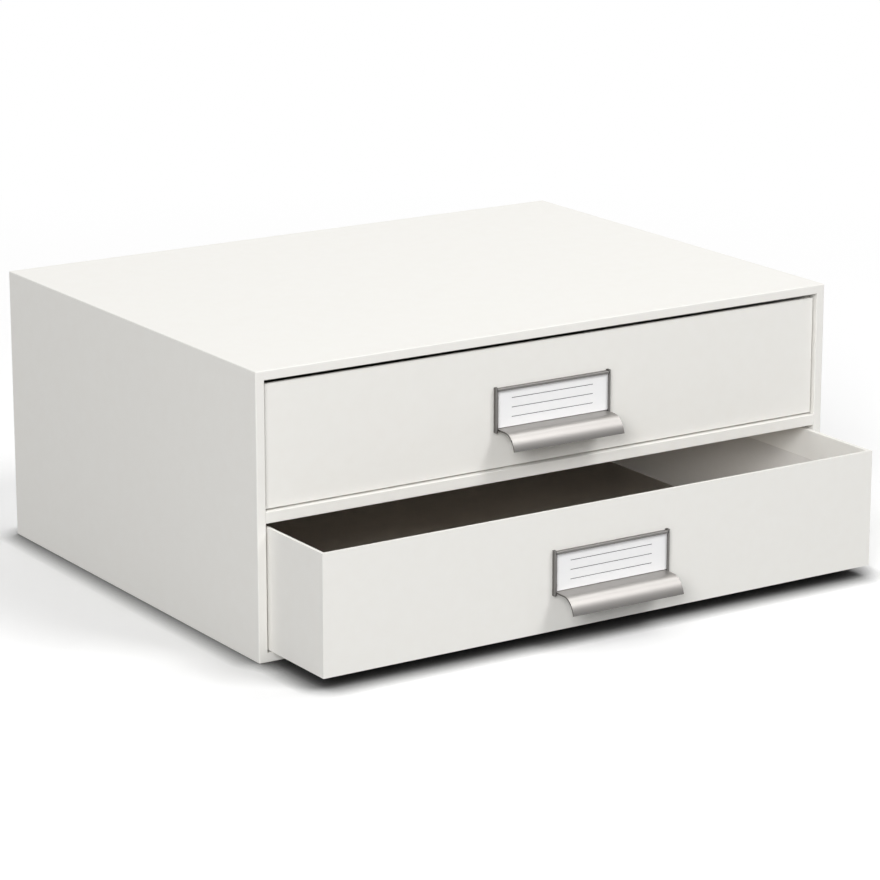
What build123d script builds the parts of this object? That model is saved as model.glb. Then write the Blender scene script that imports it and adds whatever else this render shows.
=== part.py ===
from build123d import *
import os
from math import radians, tan

# A low desktop chest of paper-covered board with two sliding drawers. Each drawer front carries
# a pressed-metal label holder whose bottom edge is rolled forward into a finger lip.
# Millimetres. The origin is the middle of the underside, +Z is up and the drawers face -Y.

# ---- Cabinet: driving dimensions ----
cabinet_width = 333.6
cabinet_depth = 252.0
bay_height = 63.15         # clear height of each drawer bay
shell_board = 4.7          # top, bottom, left and right boards, mitred at the corners
shelf_board = 5.65         # two boards glued together between the bays
back_board = 3.0
back_inset = 0.8           # the back board lies this far inside the rear edges
shell_round = 0.6          # outer edges, where the covering paper is drawn round the boards
bay_round = 0.4            # edges round the mouths of the bays

# ---- Drawers: driving dimensions ----
head_gap = 2.2             # clear height above a drawer in its bay
drawer_wall = 2.0
drawer_floor_board = 2.5
base_sheet_board = 0.8     # sheet glued under the drawer, which it slides on
base_inset = 3.0           # the base sheet stops short of the drawer's outside by this
base_corner = 2.0
side_gap = 1.1             # running gap beside the drawer
glide_gap = 0.2            # running gap under the base sheet
front_recess = 2.0         # a closed drawer sits this far behind the cabinet's front
rear_gap = 2.0             # a closed drawer stops this far short of the back board
drawer_corner = 0.6        # upright corners of the drawer
drawer_rim_outer = 0.7     # outer edge of the drawer's upper rim
drawer_rim_inner = 0.4
drawer_base_round = 0.6    # outer edge along the drawer's underside
lower_drawer_open = 50.5   # the lower drawer is modelled partly open

# ---- Label holder: driving dimensions ----
sheet = 0.8                # thickness of the metal
holder_width = 67.9
holder_height = 22.0       # from the side channels' lower ends to the top of the top channel
holder_drop = 1.0          # the holder's middle lies this far below the middle of the drawer front
rail_rise = 0.5            # the side channels stand above the top channel by this
card_slot = 0.8            # space under the folded flanges
flange = 1.4               # width of the folded flanges
fold_round = 0.4           # outside of the folds
lip_width = 64.8
lip_rise = 1.8             # top of the lip above the side channels' lower ends
lip_flat = 8.2             # the lip runs level this far out from the drawer front
lip_roll = 8.4             # outer radius of the roll that turns the lip down
lip_tail = 0.6             # straight end of the lip
lip_corner = 0.35          # corners of the lip's free edge
root_bend = 0.3            # inner radius where the plate turns into the lip
card_board = 0.35          # thickness of the card
card_clearance = 0.25      # between the card and the channels

# ---- Rivets: driving dimensions ----
rivet_spacing = 40.0
rivet_hole = 1.6
rivet_clearance = 0.06
rivet_bore = 0.9
rivet_bore_end = 1.0       # the bore stops this far behind the drawer's front face
rivet_roll = 0.8           # the rolled end stands this far inside the drawer, and is twice as wide
rivet_roll_bevel = 0.4
countersink_angle = 82.0

# ---- Sizes that follow from them ----
cabinet_height = 2 * shell_board + 2 * bay_height + shelf_board
cabinet_front = -cabinet_depth / 2
cabinet_rear = cabinet_depth / 2
bay_half = cabinet_width / 2 - shell_board
bay_rear = cabinet_rear - back_inset - back_board
shelf_underside = shell_board + bay_height
upper_bay_floor = shelf_underside + shelf_board

drawer_half = bay_half - side_gap
drawer_depth = bay_rear - rear_gap - (cabinet_front + front_recess)
drawer_lift = glide_gap + base_sheet_board
drawer_height = bay_height - drawer_lift - head_gap
closed_front = cabinet_front + front_recess

channel_depth = 2 * sheet + card_slot
holder_base = (drawer_height - holder_height) / 2 - holder_drop
holder_top = holder_base + holder_height
lip_top = holder_base + lip_rise
rivet_height = (lip_top + holder_top) / 2
rivet_head = rivet_hole + sheet * tan(radians(countersink_angle / 2))

os.makedirs("parts", exist_ok=True)


def front_plane(y):
    """Upright plane at depth y that faces the user: its x is +X and its y is +Z."""
    return Plane.XZ.offset(-y)


def box_corners(half_width, low, high):
    """Corners of an upright or level rectangle, from its left low one round to its left high one."""
    return [(-half_width, low), (half_width, low), (half_width, high), (-half_width, high)]


def write(piece, name):
    """Label a finished piece and write it to its own file."""
    piece.part.label = name
    export_step(piece.part, f"parts/{name}.step")


# ---- Cabinet ----
with BuildPart() as shell_tube:
    with BuildSketch(front_plane(cabinet_rear)):
        with Locations((0, cabinet_height / 2)):
            RectangleRounded(cabinet_width, cabinet_height, shell_round)
            Rectangle(2 * bay_half, cabinet_height - 2 * shell_board, mode=Mode.SUBTRACT)
    extrude(amount=cabinet_depth)
    front_rim = shell_tube.faces().sort_by(Axis.Y)[0]
    rear_rim = shell_tube.faces().sort_by(Axis.Y)[-1]
    fillet(front_rim.outer_wire().edges() + rear_rim.outer_wire().edges(), shell_round)
    bay_rim = shell_tube.faces().sort_by(Axis.Y)[0].inner_wires()[0]
    fillet(bay_rim.edges(), bay_round)


def shell_piece(corners):
    """One board of the cabinet's tube: the stretch between two mitres."""
    with BuildPart() as board:
        add(shell_tube.part)
        with BuildSketch(front_plane(cabinet_rear)):
            with BuildLine():
                Polyline(*corners, close=True)
            make_face()
        extrude(amount=cabinet_depth, mode=Mode.INTERSECT)
    return board


def cabinet_pieces():
    """The four outer boards, the back board and the shelf between the bays."""
    outer = box_corners(cabinet_width / 2, 0, cabinet_height)
    inner = box_corners(bay_half, shell_board, cabinet_height - shell_board)
    for name, start, end in (("bottom", 0, 1), ("right_side", 1, 2), ("top", 2, 3), ("left_side", 3, 0)):
        board = shell_piece((outer[start], outer[end], inner[end], inner[start]))
        write(board, f"cabinet_{name}")

    with BuildPart() as back:
        with BuildSketch(front_plane(bay_rear + back_board)):
            with Locations((0, cabinet_height / 2)):
                Rectangle(2 * bay_half, cabinet_height - 2 * shell_board)
        extrude(amount=back_board)
    write(back, "cabinet_back")

    with BuildPart() as shelf:
        with BuildSketch(front_plane(bay_rear)):
            with Locations((0, shelf_underside + shelf_board / 2)):
                Rectangle(2 * bay_half, shelf_board)
        extrude(amount=bay_rear - cabinet_front)
        fillet(shelf.faces().sort_by(Axis.Y)[0].edges().filter_by(Axis.X), bay_round)
    write(shelf, "divider_shelf")


# ---- Drawers ----
def drawer_tray(front, base):
    """The drawer's four walls as one ring, before it is parted at its mitred corners."""
    with BuildPart() as tray:
        with BuildSketch(Plane.XY.offset(base)):
            with Locations((0, front + drawer_depth / 2)):
                RectangleRounded(2 * drawer_half, drawer_depth, drawer_corner)
                Rectangle(2 * (drawer_half - drawer_wall), drawer_depth - 2 * drawer_wall, mode=Mode.SUBTRACT)
        extrude(amount=drawer_height)
        rim = tray.faces().sort_by(Axis.Z)[-1]
        underside = tray.faces().sort_by(Axis.Z)[0]
        fillet(rim.outer_wire().edges(), drawer_rim_outer)
        fillet(underside.outer_wire().edges(), drawer_base_round)
        fillet(tray.faces().sort_by(Axis.Z)[-1].inner_wires()[0].edges(), drawer_rim_inner)
    return tray


def drawer_wall_piece(tray, base, corners):
    """One wall of the drawer: the stretch of the ring between two mitres."""
    with BuildPart() as wall:
        add(tray.part)
        with BuildSketch(Plane.XY.offset(base)):
            with BuildLine():
                Polyline(*corners, close=True)
            make_face()
        extrude(amount=drawer_height, mode=Mode.INTERSECT)
    return wall


def drawer_front_piece(tray, front, base, corners):
    """The front wall, with the two holes for the label holder's rivets."""
    with BuildPart() as wall:
        add(drawer_wall_piece(tray, base, corners).part)
        with Locations(front_plane(front)):
            with Locations((0, base + rivet_height)):
                with GridLocations(rivet_spacing, 0, 2, 1):
                    Hole(rivet_hole)
    return wall


def drawer_floor_piece(front, base):
    """The floor board, glued in between the four walls."""
    with BuildPart() as floor:
        with BuildSketch(Plane.XY.offset(base)):
            with Locations((0, front + drawer_depth / 2)):
                Rectangle(2 * (drawer_half - drawer_wall), drawer_depth - 2 * drawer_wall)
        extrude(amount=drawer_floor_board)
    return floor


def base_sheet_piece(front, base):
    """The sheet glued under the drawer, over the paper's turned-in edges."""
    with BuildPart() as sheet_below:
        with BuildSketch(Plane.XY.offset(base)):
            with Locations((0, front + drawer_depth / 2)):
                RectangleRounded(2 * (drawer_half - base_inset), drawer_depth - 2 * base_inset, base_corner)
        extrude(amount=-base_sheet_board)
    return sheet_below


# ---- Label holder ----
def side_view(front, base):
    """Plane seen from the drawer's side: x runs out from the drawer front, y runs up."""
    return Plane(origin=(0, front, base), x_dir=(0, -1, 0), z_dir=(-1, 0, 0))


def label_pull_piece(front, base):
    """One pressing: back plate, three folded channels for the card, and the rolled finger lip."""
    side = side_view(front, base)
    half = holder_width / 2
    with BuildPart() as pull:
        # The plate runs down, turns out level and is then rolled down into the lip.
        with BuildSketch(side):
            with BuildLine():
                middle = sheet / 2
                bend = root_bend + middle
                plate = Line((middle, holder_top - middle), (middle, lip_top - middle + bend))
                root = JernArc(plate @ 1, plate % 1, bend, 90)
                level = Line(root @ 1, (lip_flat, lip_top - middle))
                roll = JernArc(level @ 1, level % 1, lip_roll - middle, -90)
                Line(roll @ 1, (lip_flat + lip_roll - middle, lip_top - lip_roll - lip_tail))
            trace(line_width=sheet)
        extrude(amount=lip_width / 2, both=True)
        free_edge = pull.faces().sort_by(Axis.Z)[0]
        fillet(free_edge.edges().filter_by(Axis.Y), lip_corner)

        # The top edge is folded forward and down over the card.
        with BuildSketch(side) as top_channel:
            with Locations((0, holder_top)):
                Rectangle(channel_depth, flange, align=(Align.MIN, Align.MAX))
            with Locations((sheet, holder_top - sheet)):
                Rectangle(card_slot, flange, align=(Align.MIN, Align.MAX), mode=Mode.SUBTRACT)
            fillet(top_channel.vertices().group_by(Axis.X)[-1].sort_by(Axis.Y)[-1], fold_round)
        extrude(amount=half - sheet, both=True)

        # Each side edge is folded forward and inward over the card.
        with BuildSketch(Plane.XY.offset(base + holder_base)) as side_channel:
            with Locations((half, front)):
                Rectangle(half - lip_width / 2, channel_depth, align=(Align.MAX, Align.MAX))
            with Locations((half - flange, front - channel_depth)):
                Rectangle(half, sheet, align=(Align.MAX, Align.MIN), mode=Mode.SUBTRACT)
            with Locations((half - sheet, front - sheet)):
                Rectangle(half, card_slot, align=(Align.MAX, Align.MAX), mode=Mode.SUBTRACT)
            fillet(side_channel.vertices().group_by(Axis.X)[-1].sort_by(Axis.Y)[0], fold_round)
        rail = extrude(amount=holder_height + rail_rise)
        mirror(rail, about=Plane.YZ)

        # Countersunk holes keep the rivets flush, so that the card slides over them.
        with Locations(front_plane(front - sheet)):
            with Locations((0, base + rivet_height)):
                with GridLocations(rivet_spacing, 0, 2, 1):
                    CounterSinkHole(rivet_hole, rivet_head, counter_sink_angle=countersink_angle)
    return pull


def label_card_piece(front, base):
    """The paper card that stands in the holder's channels."""
    low = base + lip_top + root_bend
    high = base + holder_top - sheet - card_clearance
    with BuildPart() as card:
        with BuildSketch(front_plane(front - sheet)):
            with Locations((0, (low + high) / 2)):
                Rectangle(holder_width - 2 * (sheet + card_clearance), high - low)
        extrude(amount=card_board)
    return card


def pull_rivets_piece(front, base):
    """Two semi-tubular rivets: flush head in the holder, rolled end inside the drawer."""
    shank = rivet_hole - rivet_clearance
    head = rivet_head - rivet_clearance
    rolled = rivet_bore + 2 * rivet_roll
    inside = drawer_wall + rivet_roll
    middle = (0, rivet_bore_end)
    height = base + rivet_height
    with BuildPart() as rivets:
        for centre in (-rivet_spacing / 2, rivet_spacing / 2):
            with BuildSketch(Plane((centre, front, height), x_dir=(1, 0, 0), z_dir=(0, 0, 1))):
                with BuildLine():
                    Polyline(middle, (0, -sheet), (head, -sheet), (shank, 0), (shank, drawer_wall))
                    Polyline(
                        (shank, drawer_wall),
                        (rolled, drawer_wall),
                        (rolled, inside - rivet_roll_bevel),
                        (rolled - rivet_roll_bevel, inside),
                        (rivet_bore + rivet_roll_bevel, inside),
                        (rivet_bore, inside - rivet_roll_bevel),
                        (rivet_bore, rivet_bore_end),
                        middle,
                    )
                make_face()
            revolve(axis=Axis((centre, front, height), (0, 1, 0)))
    return rivets


def drawer_pieces(prefix, bay_floor, opened):
    """All the pieces of one drawer, standing in its bay and pulled out by the given length."""
    front = closed_front - opened
    base = bay_floor + drawer_lift
    outer = box_corners(drawer_half, front, front + drawer_depth)
    inner = box_corners(drawer_half - drawer_wall, front + drawer_wall, front + drawer_depth - drawer_wall)
    tray = drawer_tray(front, base)
    for name, start, end in (("right_side", 1, 2), ("back", 2, 3), ("left_side", 3, 0)):
        wall = drawer_wall_piece(tray, base, (outer[start], outer[end], inner[end], inner[start]))
        write(wall, f"{prefix}_drawer_{name}")
    front_wall = drawer_front_piece(tray, front, base, (outer[0], outer[1], inner[1], inner[0]))
    write(front_wall, f"{prefix}_drawer_front")
    write(drawer_floor_piece(front, base), f"{prefix}_drawer_floor")
    write(base_sheet_piece(front, base), f"{prefix}_base_sheet")
    write(label_pull_piece(front, base), f"{prefix}_label_pull")
    write(label_card_piece(front, base), f"{prefix}_label_card")
    write(pull_rivets_piece(front, base), f"{prefix}_pull_rivets")


cabinet_pieces()
drawer_pieces("upper", upper_bay_floor, 0)
drawer_pieces("lower", shell_board, lower_drawer_open)
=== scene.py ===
"""Looks of the two-drawer desktop chest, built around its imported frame.

Lengths are metres in the frame's own axes. The origin is the middle of the underside, +Z is up
and the drawers face -Y. Sizes are written in millimetres and multiplied by MM.
"""

import logging
import math
from dataclasses import dataclass
from enum import Enum

import bmesh
import bpy
from mathutils import Matrix, Vector


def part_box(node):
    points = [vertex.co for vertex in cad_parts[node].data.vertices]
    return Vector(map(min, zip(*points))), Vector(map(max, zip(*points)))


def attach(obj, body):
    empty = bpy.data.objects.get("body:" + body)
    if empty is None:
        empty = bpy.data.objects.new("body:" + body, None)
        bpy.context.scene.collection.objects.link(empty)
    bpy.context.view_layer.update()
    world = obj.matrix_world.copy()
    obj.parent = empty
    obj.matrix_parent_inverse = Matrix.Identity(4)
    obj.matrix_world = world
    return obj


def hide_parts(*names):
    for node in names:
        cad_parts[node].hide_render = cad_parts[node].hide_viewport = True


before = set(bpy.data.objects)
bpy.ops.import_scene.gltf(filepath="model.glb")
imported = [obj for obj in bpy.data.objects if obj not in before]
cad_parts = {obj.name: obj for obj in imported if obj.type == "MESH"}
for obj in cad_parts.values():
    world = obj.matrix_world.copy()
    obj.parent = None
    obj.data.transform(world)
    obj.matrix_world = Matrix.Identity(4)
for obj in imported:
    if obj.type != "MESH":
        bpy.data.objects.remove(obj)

MM = 0.001
PHOTO_PIXELS = 880
# Facets in each rounded corner of a lining.
LINING_SEGMENTS = 3
# Numbers of the colour sockets of Blender's Mix node.
MIX_FROM = 6
MIX_TO = 7
MIX_RESULT = 2
Colour = tuple[float, float, float, float]
Point = tuple[float, float, float]
WHITE: Colour = (1.0, 1.0, 1.0, 1.0)

logging.basicConfig(level=logging.INFO, format="%(name)s: %(message)s")
log = logging.getLogger("chest")


# ---------------------------------------------------------------------------
# Small helpers
# ---------------------------------------------------------------------------


def linear(hex_colour: str) -> Colour:
    """Turns an sRGB colour into Blender's linear colour.

    Args:
        hex_colour: six hex digits after a hash sign.

    Returns:
        Linear red, green, blue and an alpha of 1.
    """
    values = [int(hex_colour[i : i + 2], 16) / 255 for i in (1, 3, 5)]
    turned = [v / 12.92 if v <= 0.04045 else ((v + 0.055) / 1.055) ** 2.4 for v in values]
    return turned[0], turned[1], turned[2], 1.0


def per_metre(feature_mm: float) -> float:
    """Scale of a texture whose features are this many millimetres across."""
    return 1.0 / (feature_mm * MM)


def add_node(
    tree: bpy.types.NodeTree,
    kind: str,
    inputs: dict[str | int, object] | None = None,
    **settings: object,
) -> bpy.types.Node:
    """Adds a node, sets it up and links it.

    Args:
        tree: node tree that gets the node.
        kind: Blender's type name of the node.
        inputs: a value or another node's output for each named or numbered socket.
        settings: properties of the node itself.

    Returns:
        The new node.
    """
    node = tree.nodes.new(kind)
    for name, value in settings.items():
        setattr(node, name, value)
    for socket, value in (inputs or {}).items():
        if isinstance(value, bpy.types.NodeSocket):
            tree.links.new(value, node.inputs[socket])
        else:
            node.inputs[socket].default_value = value
    return node


def new_edge(mesh: bmesh.types.BMesh, start: Vector, end: Vector) -> bmesh.types.BMEdge:
    """Adds one edge between two points."""
    return mesh.edges.new((mesh.verts.new(start), mesh.verts.new(end)))


def draw_out(
    mesh: bmesh.types.BMesh, edges: list[bmesh.types.BMEdge], step: Vector
) -> list[bmesh.types.BMEdge]:
    """Extrudes a strip from some edges.

    Args:
        mesh: mesh under construction.
        edges: edges that the strip starts from.
        step: how far and which way the strip goes.

    Returns:
        The edges at the strip's far end.
    """
    made = bmesh.ops.extrude_edge_only(mesh, edges=edges)["geom"]
    corners = {item for item in made if isinstance(item, bmesh.types.BMVert)}
    bmesh.ops.translate(mesh, verts=list(corners), vec=step)
    return [e for e in made if isinstance(e, bmesh.types.BMEdge) and set(e.verts) <= corners]


def round_off(
    mesh: bmesh.types.BMesh, edges: list[bmesh.types.BMEdge], width: float, segments: int
) -> None:
    """Rounds edges where a sheet or a lining is folded.

    Args:
        mesh: mesh under construction.
        edges: edges to round.
        width: how far the rounding reaches back from each edge.
        segments: how many facets the rounding has.
    """
    bmesh.ops.bevel(
        mesh, geom=edges, offset=width, segments=segments, profile=0.5, affect="EDGES", material=-1
    )


def finished(
    mesh: bmesh.types.BMesh, name: str, finish: bpy.types.Material, smooth_below: float = 35.0
) -> bpy.types.Object:
    """Turns a finished bmesh into an object at the origin.

    Args:
        mesh: mesh with its place in its vertices. It is freed.
        name: name of the object and its mesh.
        finish: first material of the piece.
        smooth_below: edges that turn less than this many degrees are shaded smooth.

    Returns:
        The linked object.
    """
    data = bpy.data.meshes.new(name)
    mesh.to_mesh(data)
    mesh.free()
    data.materials.append(finish)
    data.shade_smooth()
    data.set_sharp_from_angle(angle=math.radians(smooth_below))
    made = bpy.data.objects.new(name, data)
    bpy.context.scene.collection.objects.link(made)
    return made


# ---------------------------------------------------------------------------
# Finishes
# ---------------------------------------------------------------------------


@dataclass(frozen=True)
class Finish:
    """What all finishes share: a named material with a Principled shader."""

    name: str

    def start(self) -> tuple[bpy.types.Material, bpy.types.NodeTree, bpy.types.NodeSocket]:
        """Opens an empty material.

        Returns:
            The material, its node tree and the Object coordinates every pattern reads.
        """
        material = bpy.data.materials.new(self.name)
        material.use_nodes = True
        material.node_tree.nodes.clear()
        place = add_node(material.node_tree, "ShaderNodeTexCoord").outputs["Object"]
        return material, material.node_tree, place

    def close(self, tree: bpy.types.NodeTree, inputs: dict[str | int, object]) -> None:
        """Adds the Principled shader with these inputs and the output node."""
        shader = add_node(tree, "ShaderNodeBsdfPrincipled", inputs)
        add_node(tree, "ShaderNodeOutputMaterial", {"Surface": shader.outputs["BSDF"]})


@dataclass(frozen=True)
class Paper(Finish):
    """Uncoated or matt-laminated paper glued round solid board.

    Paper has no gloss: what the eye gets is a soft tooth, fibre clouds a few millimetres across
    and a faint unevenness where the glue has drawn it down.
    """

    pale: str
    deep: str
    roughness: float
    # Paper's surface is porous, so it mirrors less than a closed film of the same kind.
    specular: float = 0.2
    cloud_mm: float = 7.0
    # Real fibres are about 0.03 mm wide. They are drawn ten times as coarse, or nothing would show.
    fibre_mm: float = 0.35
    tooth_mm: float = 0.012
    tooth_strength: float = 0.6
    drawn_mm: float = 38.0
    drawn_depth_mm: float = 0.05
    drawn_strength: float = 0.5

    def build(self) -> bpy.types.Material:
        """Returns the paper material."""
        material, tree, place = self.start()
        clouds = add_node(
            tree,
            "ShaderNodeTexNoise",
            {"Vector": place, "Scale": per_metre(self.cloud_mm), "Detail": 5.0, "Roughness": 0.6},
        )
        colour = add_node(
            tree,
            "ShaderNodeMix",
            {
                "Factor": clouds.outputs["Fac"],
                MIX_FROM: linear(self.deep),
                MIX_TO: linear(self.pale),
            },
            data_type="RGBA",
        )
        fibres = add_node(
            tree,
            "ShaderNodeTexNoise",
            {"Vector": place, "Scale": per_metre(self.fibre_mm), "Detail": 3.0, "Distortion": 1.2},
        )
        tooth = add_node(
            tree,
            "ShaderNodeBump",
            {
                "Height": fibres.outputs["Fac"],
                "Distance": self.tooth_mm * MM,
                "Strength": self.tooth_strength,
            },
        )
        drawn = add_node(
            tree,
            "ShaderNodeTexNoise",
            {"Vector": place, "Scale": per_metre(self.drawn_mm), "Detail": 1.0},
        )
        surface = add_node(
            tree,
            "ShaderNodeBump",
            {
                "Height": drawn.outputs["Fac"],
                "Distance": self.drawn_depth_mm * MM,
                "Strength": self.drawn_strength,
                "Normal": tooth.outputs["Normal"],
            },
        )
        self.close(
            tree,
            {
                "Base Color": colour.outputs[MIX_RESULT],
                "Roughness": self.roughness,
                "Specular IOR Level": self.specular,
                "Normal": surface.outputs["Normal"],
            },
        )
        return material


@dataclass(frozen=True)
class SatinMetal(Finish):
    """Steel sheet, nickel plated and satin brushed along its length.

    The brushing spreads each highlight into a soft band and leaves hairlines along X. Surfaces
    that face up are painted paler than those that face out, a painted highlight.
    """

    painted_highlight_colour: str
    facing_out_colour: str
    roughness: float
    # Brushed hairlines are about 0.02 mm wide and are drawn coarser, so that they show.
    hairline_mm: float = 0.12
    hairline_length_mm: float = 9.0
    hairline_depth_mm: float = 0.004
    hairline_strength: float = 0.5
    hairline_contrast: float = 0.15
    roughness_spread: float = 0.04
    # The painted highlight starts at the first of these upward slopes and is full from the second.
    painted_highlight_slopes: tuple[float, float] = (0.2, 0.95)

    def build(self) -> bpy.types.Material:
        """Returns the metal material."""
        material, tree, place = self.start()
        along = per_metre(self.hairline_length_mm)
        across = per_metre(self.hairline_mm)
        stretched = add_node(
            tree, "ShaderNodeMapping", {"Vector": place, "Scale": (along, across, across)}
        )
        hairlines = add_node(
            tree,
            "ShaderNodeTexNoise",
            {"Vector": stretched.outputs["Vector"], "Scale": 1.0, "Detail": 2.0},
        )
        # Painted highlight: the more a face looks up, the more it takes the paler colour.
        facing = add_node(tree, "ShaderNodeTexCoord").outputs["Normal"]
        height = add_node(tree, "ShaderNodeSeparateXYZ", {"Vector": facing}).outputs["Z"]
        first_slope, full_slope = self.painted_highlight_slopes
        painted_highlight_mask = add_node(
            tree,
            "ShaderNodeMapRange",
            {"Value": height, "From Min": first_slope, "From Max": full_slope},
        )
        # The mix adds the hairlines' real grain to the painted highlight.
        grain_and_painted_highlight = add_node(
            tree,
            "ShaderNodeMath",
            {0: hairlines.outputs["Fac"], 1: self.hairline_contrast, 2: painted_highlight_mask.outputs["Result"]},
            operation="MULTIPLY_ADD",
            use_clamp=True,
        )
        colour = add_node(
            tree,
            "ShaderNodeMix",
            {
                "Factor": grain_and_painted_highlight.outputs["Value"],
                MIX_FROM: linear(self.facing_out_colour),
                MIX_TO: linear(self.painted_highlight_colour),
            },
            data_type="RGBA",
        )
        worn = add_node(
            tree,
            "ShaderNodeMapRange",
            {
                "Value": hairlines.outputs["Fac"],
                "To Min": self.roughness - self.roughness_spread,
                "To Max": self.roughness + self.roughness_spread,
            },
        )
        grain = add_node(
            tree,
            "ShaderNodeBump",
            {
                "Height": hairlines.outputs["Fac"],
                "Distance": self.hairline_depth_mm * MM,
                "Strength": self.hairline_strength,
            },
        )
        self.close(
            tree,
            {
                "Base Color": colour.outputs[MIX_RESULT],
                "Metallic": 1.0,
                "Roughness": worn.outputs["Result"],
                "Normal": grain.outputs["Normal"],
            },
        )
        return material


@dataclass(frozen=True)
class StudioFloor(Finish):
    """Seamless white studio paper, which keeps the object's shadow and runs out to plain white."""

    # The colour by which the floor lights the object, and the brightness that the camera sees.
    plain: str = "#A6A6A6"
    seen_gain: float = 1.06
    # The contact shadow reaches this far, deepens with this power and ends at this brightness.
    crevice: float = 15.0 * MM
    crevice_depth: float = 2.4
    crevice_floor: float = 0.05
    # Distance from the object's middle where the paper starts to run out, and where it is white.
    fade_start: float = 0.42
    fade_end: float = 0.95

    def build(self) -> bpy.types.Material:
        """Returns the floor material."""
        material, tree, place = self.start()
        seen = seen_directly(tree)
        flat = add_node(
            tree, "ShaderNodeVectorMath", {0: place, 1: (1.0, 1.0, 0.0)}, operation="MULTIPLY"
        )
        reach = add_node(
            tree, "ShaderNodeVectorMath", {0: flat.outputs["Vector"]}, operation="LENGTH"
        )
        far = add_node(
            tree,
            "ShaderNodeMapRange",
            {
                "Value": reach.outputs["Value"],
                "From Min": self.fade_start,
                "From Max": self.fade_end,
            },
            interpolation_type="SMOOTHSTEP",
        )
        # The open paper round the object is lit from all sides, a crevice under it is not.
        open_paper = add_node(
            tree, "ShaderNodeAmbientOcclusion", {"Distance": self.crevice}, samples=8
        )
        deepened = add_node(
            tree,
            "ShaderNodeMath",
            {0: open_paper.outputs["AO"], 1: self.crevice_depth},
            operation="POWER",
        )
        bright = add_node(
            tree,
            "ShaderNodeMapRange",
            {
                "Value": deepened.outputs["Value"],
                "To Min": self.crevice_floor,
                "To Max": self.seen_gain,
            },
        )
        colour = add_node(
            tree,
            "ShaderNodeMix",
            {"Factor": seen, MIX_FROM: linear(self.plain), MIX_TO: bright.outputs["Result"]},
            data_type="RGBA",
        )
        paper = add_node(tree, "ShaderNodeBsdfDiffuse", {"Color": colour.outputs[MIX_RESULT]})
        white = add_node(tree, "ShaderNodeEmission", {"Color": WHITE, "Strength": 1.0})
        share = add_node(
            tree, "ShaderNodeMath", {0: seen, 1: far.outputs["Result"]}, operation="MULTIPLY"
        )
        surface = add_node(
            tree,
            "ShaderNodeMixShader",
            {0: share.outputs["Value"], 1: paper.outputs["BSDF"], 2: white.outputs["Emission"]},
        )
        add_node(tree, "ShaderNodeOutputMaterial", {"Surface": surface.outputs["Shader"]})
        return material


def seen_directly(tree: bpy.types.NodeTree) -> bpy.types.NodeSocket:
    """Adds a mask that is 1 for rays that show the background: camera, mirror and glass rays.

    Args:
        tree: node tree of a material or of the world.

    Returns:
        The mask's output.
    """
    rays = add_node(tree, "ShaderNodeLightPath").outputs
    mask = rays["Is Camera Ray"]
    for other in ("Is Glossy Ray", "Is Transmission Ray"):
        joined = add_node(tree, "ShaderNodeMath", {0: mask, 1: rays[other]}, operation="MAXIMUM")
        mask = joined.outputs["Value"]
    return mask


class Stock(Enum):
    """The finishes that the chest is made of."""

    COVER = Paper("matt_laminated_cover_paper", "#F4F3EF", "#F1EFEA", 0.72)
    LINING = Paper("uncoated_lining_paper", "#E7E4E0", "#E2DFDA", 0.85, cloud_mm=4.0)
    # Darker and warmer than the lining: painted shade on the drawer's floor.
    FLOOR_SHEET = Paper("grey_floor_paper_painted_shade", "#D2CAC2", "#CAC2B9", 0.9, cloud_mm=3.0)
    CARD = Paper("uncoated_label_card", "#FAFAFA", "#F6F6F7", 0.6, drawn_depth_mm=0.0)
    INK = Paper("offset_printed_ink", "#3A3B3D", "#333436", 0.5, drawn_depth_mm=0.0)
    # Each metal's first colour is its painted highlight on faces that look up, the second its
    # colour facing out.
    NICKEL = SatinMetal("satin_brushed_nickel_plate", "#AAA7A4", "#6C6A68", 0.42)
    # A darker copy of the nickel for the folded channels and rails: painted shade.
    FOLDED_NICKEL = SatinMetal("folded_nickel_plate_painted_shade", "#7E7C7A", "#777573", 0.42)
    RIVET = SatinMetal("tumbled_nickel_plated_rivet", "#A3A19E", "#918F8C", 0.38)

    def material(self) -> bpy.types.Material:
        """Returns this finish's material, built on first use."""
        return bpy.data.materials.get(self.value.name) or self.value.build()


# ---------------------------------------------------------------------------
# Cabinet
# ---------------------------------------------------------------------------


@dataclass
class Cabinet:
    """The fixed case: cover paper outside, and a lining inside each bay."""

    body: str = "cabinet"
    turn_in: float = 15.0 * MM
    lining: float = 0.12 * MM
    corner: float = 0.5 * MM
    boards: tuple[str, ...] = (
        "cabinet_top",
        "cabinet_bottom",
        "cabinet_left_side",
        "cabinet_right_side",
        "cabinet_back",
        "divider_shelf",
    )

    def build(self) -> None:
        """Dresses the boards and lines both bays."""
        for board in self.boards:
            dress(board, Stock.COVER)
        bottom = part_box("cabinet_bottom")
        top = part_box("cabinet_top")
        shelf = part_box("divider_shelf")
        thickness = bottom[1].z
        self.line_bay("lower", thickness, shelf[0].z)
        self.line_bay("upper", shelf[1].z, top[1].z - thickness)

    def line_bay(self, name: str, floor: float, ceiling: float) -> None:
        """Lines one bay behind the cover paper's turned-in edge.

        Args:
            name: which bay, the start of the piece's name.
            floor: height of the bay's floor.
            ceiling: height of the bay's ceiling.
        """
        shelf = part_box("divider_shelf")
        low = Vector((shelf[0].x, shelf[0].y + self.turn_in, floor))
        high = Vector((shelf[1].x, shelf[1].y, ceiling))
        mesh = open_box(low, high, open_side=Vector((0, -1, 0)), corner=self.corner)
        lining = finished(mesh, f"{name}_bay_lining", Stock.LINING.material())
        thicken(lining, self.lining)
        carry(lining, self.body)


# ---------------------------------------------------------------------------
# Drawers
# ---------------------------------------------------------------------------


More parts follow.
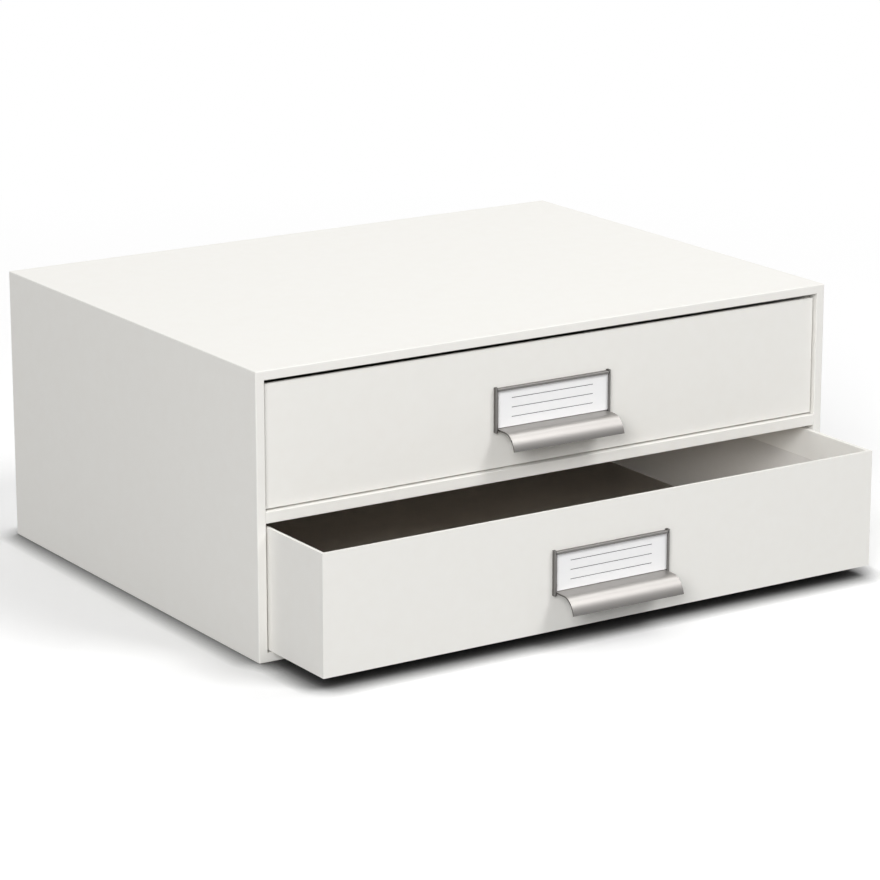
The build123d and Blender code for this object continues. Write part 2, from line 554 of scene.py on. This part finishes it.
@dataclass
class Drawer:
    """One drawer: cover paper outside and over its rim, lining paper below the turned-in edge."""

    prefix: str
    body: str
    turn_in: float = 15.0 * MM
    lining: float = 0.2 * MM
    floor_paper: float = 0.15 * MM
    corner: float = 0.8 * MM
    walls: tuple[str, ...] = (
        "drawer_front",
        "drawer_back",
        "drawer_left_side",
        "drawer_right_side",
    )

    def build(self) -> None:
        """Dresses the drawer's boards, lines its inside and fits its label holder."""
        for wall in self.walls:
            dress(f"{self.prefix}_{wall}", Stock.COVER)
        for board in ("drawer_floor", "base_sheet"):
            dress(f"{self.prefix}_{board}", Stock.LINING)
        self.line()
        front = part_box(f"{self.prefix}_drawer_front")
        LabelHolder(self.prefix, self.body, front[0].y, front[0].z).build()

    def line(self) -> None:
        """Adds the lining, which stands on the floor board and laps over the turned-in paper."""
        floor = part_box(f"{self.prefix}_drawer_floor")
        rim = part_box(f"{self.prefix}_drawer_front")[1].z
        low = Vector((floor[0].x, floor[0].y, floor[1].z))
        high = Vector((floor[1].x, floor[1].y, rim - self.turn_in))
        mesh = open_box(low, high, open_side=Vector((0, 0, 1)), corner=self.corner)
        lining = finished(mesh, f"{self.prefix}_drawer_lining", Stock.LINING.material())
        thicken(lining, self.lining)
        carry(lining, self.body)
        self.lay_floor(low, high)

    def lay_floor(self, low: Vector, high: Vector) -> None:
        """Lays the grey sheet on the drawer's floor, a darker and warmer paper than the lining that
        paints the shade inside the drawer.

        Args:
            low: lowest corner of the drawer's lined inside.
            high: highest corner of the drawer's lined inside.
        """
        inset = self.lining + self.corner / 2
        size = high - low - Vector((2 * inset, 2 * inset, 0))
        centre = (low + high) / 2
        centre.z = low.z + self.lining + self.floor_paper
        mesh = bmesh.new()
        place = Matrix.Translation(centre) @ Matrix.Diagonal((size.x, size.y, 1.0, 1.0))
        bmesh.ops.create_grid(mesh, x_segments=1, y_segments=1, size=0.5, matrix=place)
        sheet = finished(mesh, f"{self.prefix}_floor_paper", Stock.FLOOR_SHEET.material())
        thicken(sheet, self.floor_paper)
        carry(sheet, self.body)


@dataclass
class LabelHolder:
    """Pressed-metal label holder: back plate, folded channels and a finger lip, with its card."""

    prefix: str
    body: str
    front: float
    base: float
    sheet: float = 0.8 * MM
    width: float = 67.9 * MM
    # The rails' lower ends stand this high above the drawer's underside.
    low: float = 17.975 * MM
    height: float = 22.0 * MM
    rail_rise: float = 0.5 * MM
    depth: float = 2.4 * MM
    flange: float = 1.4 * MM
    lip_width: float = 64.8 * MM
    lip_rise: float = 1.8 * MM
    lip_flat: float = 7.6 * MM
    # The lip is rolled down in a tight bend and then in a wide one, each a radius and an angle.
    lip_bends: tuple[tuple[float, float], ...] = ((7.5 * MM, 45.0), (11.0 * MM, 32.0))
    lip_tail: float = 0.5 * MM
    root: float = 0.7 * MM
    fold: float = 0.2 * MM
    fold_segments: int = 4
    # Sheared edges, which turn sharper than this many degrees, are deburred.
    softened: float = 0.1 * MM
    softened_segments: int = 2
    sharp_above: float = 50.0
    roll_steps: int = 14

    @property
    def top(self) -> float:
        """Height of the top channel above the drawer's underside."""
        return self.low + self.height

    @property
    def lip_top(self) -> float:
        """Height of the lip's level part above the drawer's underside."""
        return self.low + self.lip_rise

    def at(self, x: float, out: float, height: float) -> Vector:
        """Point at x, this far out from the drawer's front and this high above its underside."""
        return Vector((x, self.front - out, self.base + height))

    def build(self) -> None:
        """Builds the holder and its ruled card, and dresses the card and the rivets."""
        mesh = bmesh.new()
        self.plate_and_lip(mesh)
        plate_faces = len(mesh.faces)
        self.top_channel(mesh)
        for side in (-1, 1):
            self.rail(mesh, side)
        # The channels and rails are folded from the sheet's edges and take the second material, a
        # darker copy of the nickel that paints shade on them.
        for face in list(mesh.faces)[plate_faces:]:
            face.material_index = 1
        holder = finished(mesh, f"{self.prefix}_label_holder", Stock.NICKEL.material())
        holder.data.materials.append(Stock.FOLDED_NICKEL.material())
        solid = holder.modifiers.new("sheet", "SOLIDIFY")
        solid.thickness = self.sheet
        solid.offset = 0.0
        solid.use_even_offset = True
        edges = holder.modifiers.new("deburred_edges", "BEVEL")
        edges.width = self.softened
        edges.segments = self.softened_segments
        edges.limit_method = "ANGLE"
        edges.angle_limit = math.radians(self.sharp_above)
        edges.harden_normals = True
        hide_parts(f"{self.prefix}_label_pull")
        carry(holder, self.body)
        dress(f"{self.prefix}_label_card", Stock.CARD)
        dress(f"{self.prefix}_pull_rivets", Stock.RIVET)
        CardRuling(self.prefix, self.body).build()

    def plate_and_lip(self, mesh: bmesh.types.BMesh) -> None:
        """Draws the plate down, out and over the roll of the lip, as the sheet's middle surface."""
        half = self.lip_width / 2
        middle = self.sheet / 2
        upper = self.top - middle
        level = self.lip_top - middle
        start = new_edge(mesh, self.at(-half, middle, upper), self.at(half, middle, upper))
        corner = draw_out(mesh, [start], Vector((0, 0, level - upper)))
        edges = draw_out(mesh, corner, Vector((0, middle - self.lip_flat, 0)))
        out, height, turned = self.lip_flat, level, 0.0
        for radius, degrees in self.lip_bends:
            out -= radius * math.sin(turned)
            height -= radius * math.cos(turned)
            rolled = bmesh.ops.spin(
                mesh,
                geom=edges + list({v for e in edges for v in e.verts}),
                cent=self.at(0, out, height),
                axis=(1, 0, 0),
                angle=math.radians(degrees),
                steps=self.roll_steps,
            )["geom_last"]
            edges = [e for e in rolled if isinstance(e, bmesh.types.BMEdge)]
            turned += math.radians(degrees)
            out += radius * math.sin(turned)
            height += radius * math.cos(turned)
        tail = Vector((0, -math.cos(turned), -math.sin(turned))) * self.lip_tail
        draw_out(mesh, edges, tail)
        round_off(mesh, corner, self.root, self.fold_segments)

    def folded(
        self, mesh: bmesh.types.BMesh, start: Vector, end: Vector, steps: list[Vector]
    ) -> None:
        """Draws a strip out from one edge, with a rounded fold between one step and the next.

        Args:
            mesh: mesh under construction.
            start: one end of the strip's first edge.
            end: its other end.
            steps: how far and which way each part of the strip goes.
        """
        edges = [new_edge(mesh, start, end)]
        folds = []
        for step in steps[:-1]:
            edges = draw_out(mesh, edges, step)
            folds += edges
        draw_out(mesh, edges, steps[-1])
        round_off(mesh, folds, self.fold, self.fold_segments)

    def top_channel(self, mesh: bmesh.types.BMesh) -> None:
        """Folds the top edge forward and down over the card."""
        half = self.width / 2 - self.sheet
        middle = self.sheet / 2
        foot = self.top - self.flange
        rise = Vector((0, 0, self.flange - middle))
        forward = Vector((0, self.sheet - self.depth, 0))
        start, end = (self.at(x, middle, foot) for x in (-half, half))
        self.folded(mesh, start, end, [rise, forward, -rise])

    def rail(self, mesh: bmesh.types.BMesh, side: int) -> None:
        """Folds one side edge forward and inward over the card.

        Args:
            mesh: mesh under construction.
            side: -1 for the left rail, 1 for the right one.
        """
        middle = self.sheet / 2
        outer = self.width / 2 - middle
        inner = self.lip_width / 2
        across = Vector((side * (outer - inner), 0, 0))
        forward = Vector((0, self.sheet - self.depth, 0))
        inward = Vector((side * (middle - self.flange), 0, 0))
        heights = (self.low, self.top + self.rail_rise)
        start, end = (self.at(side * inner, middle, height) for height in heights)
        self.folded(mesh, start, end, [across, forward, inward])


@dataclass
class CardRuling:
    """Plain writing lines printed on the label card."""

    prefix: str
    body: str
    lines: int = 3
    weight: float = 0.3 * MM
    ink: float = 0.02 * MM
    side_margin: float = 9.0 * MM

    def build(self) -> None:
        """Prints the lines, evenly spaced over the card's height."""
        low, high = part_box(f"{self.prefix}_label_card")
        spacing = (high.z - low.z) / (self.lines + 1)
        mesh = bmesh.new()
        for line in range(self.lines):
            centre = Vector(((low.x + high.x) / 2, low.y, low.z + (line + 1) * spacing))
            scale = Vector((high.x - low.x - 2 * self.side_margin, 2 * self.ink, self.weight))
            place = Matrix.Translation(centre) @ Matrix.Diagonal(scale.to_4d())
            bmesh.ops.create_cube(mesh, size=1.0, matrix=place)
        ruling = finished(mesh, f"{self.prefix}_card_ruling", Stock.INK.material())
        carry(ruling, self.body)


def open_box(low: Vector, high: Vector, open_side: Vector, corner: float) -> bmesh.types.BMesh:
    """Builds a box with one side left open, as the outer surface of a lining.

    Args:
        low: lowest corner.
        high: highest corner.
        open_side: direction of the side that is left open.
        corner: rounding of the lining where it can't turn sharply.

    Returns:
        The open box.
    """
    mesh = bmesh.new()
    place = Matrix.Translation((low + high) / 2) @ Matrix.Diagonal((high - low).to_4d())
    bmesh.ops.create_cube(mesh, size=1.0, matrix=place)
    mesh.normal_update()
    opened = [f for f in mesh.faces if f.normal.dot(open_side) > 0.5]
    bmesh.ops.delete(mesh, geom=opened, context="FACES")
    turned = [e for e in mesh.edges if not e.is_boundary]
    round_off(mesh, turned, corner, LINING_SEGMENTS)
    return mesh


def thicken(piece: bpy.types.Object, thickness: float) -> None:
    """Gives a sheet its thickness, inwards from its outer surface."""
    solid = piece.modifiers.new("thickness", "SOLIDIFY")
    solid.thickness = thickness
    solid.offset = -1.0
    solid.use_even_offset = True


def carry(piece: bpy.types.Object, body: str) -> None:
    """Makes a new piece ride on a body and reports it."""
    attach(piece, body)
    log.info("%s rides on %s, %d faces", piece.name, body, len(piece.data.polygons))


def dress(node: str, stock: Stock) -> None:
    """Gives a CAD node its finish and reports it."""
    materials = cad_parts[node].data.materials
    materials.clear()
    materials.append(stock.material())
    log.info("%s is dressed in %s", node, stock.value.name)


# ---------------------------------------------------------------------------
# Studio
# ---------------------------------------------------------------------------


@dataclass(frozen=True)
class PhotoCamera:
    """The photograph's camera: a long lens from the front left and a little above."""

    place: Point = (-973.545 * MM, -1522.856 * MM, 551.153 * MM)
    yaw: float = math.radians(33.019)
    pitch: float = math.radians(15.346)
    focal_pixels: float = 3623.5
    sensor_mm: float = 36.0

    def build(self) -> None:
        """Adds the camera and makes it the scene's own."""
        ahead = Vector((math.sin(self.yaw), math.cos(self.yaw), 0)) * math.cos(self.pitch)
        ahead.z = -math.sin(self.pitch)
        right = Vector((math.cos(self.yaw), -math.sin(self.yaw), 0))
        up = right.cross(ahead)
        data = bpy.data.cameras.new("photo_camera")
        data.sensor_width = self.sensor_mm
        data.lens = self.focal_pixels / PHOTO_PIXELS * self.sensor_mm
        data.clip_start = 0.05
        data.clip_end = 60.0
        camera = bpy.data.objects.new("photo_camera", data)
        turn = Matrix((right, up, -ahead)).transposed().to_4x4()
        camera.matrix_world = Matrix.Translation(self.place) @ turn
        bpy.context.scene.collection.objects.link(camera)
        bpy.context.scene.camera = camera


@dataclass(frozen=True)
class SoftLamp:
    """A large square softbox that faces the object.

    level is the brightness that a white surface facing the lamp gets from it.
    """

    name: str
    towards: Point
    distance: float
    side: float
    level: float
    aim: Point = (0.0, -0.03, 0.07)

    def build(self) -> None:
        """Adds the lamp."""
        data = bpy.data.lights.new(self.name, "AREA")
        data.shape = "SQUARE"
        data.size = self.side
        data.energy = self.level * math.pi**2 * self.distance**2
        lamp = bpy.data.objects.new(self.name, data)
        direction = Vector(self.towards).normalized()
        lamp.location = Vector(self.aim) + direction * self.distance
        lamp.rotation_euler = direction.to_track_quat("Z", "Y").to_euler()
        bpy.context.scene.collection.objects.link(lamp)


@dataclass
class Studio:
    """White floor, even room light and the softboxes.

    room is the brightness of the light that comes evenly from all round.
    """

    room: float = 0.18
    floor_side: float = 30.0
    lamps: tuple[SoftLamp, ...] = (
        SoftLamp("key_softbox", (0.36, -0.58, 0.77), distance=3.0, side=0.9, level=0.355),
        SoftLamp("overhead_softbox", (0.525, -0.03, 0.85), distance=2.2, side=0.7, level=0.13),
        SoftLamp("rear_softbox", (0.15, 0.55, 0.86), distance=2.4, side=1.4, level=0.2),
        SoftLamp("back_softbox", (-0.1, 1.0, 0.35), distance=3.0, side=1.8, level=0.14),
        SoftLamp("low_left_softbox", (-0.9, -0.9, 0.62), distance=4.0, side=1.9, level=0.68),
    )

    def build(self) -> None:
        """Builds the floor, the room light and the lamps."""
        scene = bpy.context.scene
        scene.view_settings.view_transform = "Standard"
        mesh = bmesh.new()
        bmesh.ops.create_grid(mesh, x_segments=2, y_segments=2, size=self.floor_side / 2)
        floor = finished(mesh, "studio_floor", StudioFloor("seamless_studio_paper").build())
        self.room_light(scene)
        for lamp in self.lamps:
            lamp.build()

    def room_light(self, scene: bpy.types.Scene) -> None:
        """Lights the object evenly from all round, and shows white behind it."""
        world = bpy.data.worlds.new("studio_room")
        world.use_nodes = True
        tree = world.node_tree
        tree.nodes.clear()
        level = add_node(
            tree,
            "ShaderNodeMapRange",
            {"Value": seen_directly(tree), "To Min": self.room, "To Max": 1.0},
        )
        glow = add_node(
            tree, "ShaderNodeBackground", {"Color": WHITE, "Strength": level.outputs["Result"]}
        )
        add_node(tree, "ShaderNodeOutputWorld", {"Surface": glow.outputs["Background"]})
        scene.world = world


def main() -> None:
    """Builds the camera, the chest and the studio."""
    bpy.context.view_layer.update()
    PhotoCamera().build()
    Cabinet().build()
    for prefix in ("upper", "lower"):
        Drawer(prefix, f"{prefix}_drawer").build()
    Studio().build()


if __name__ == "__main__":
    main()
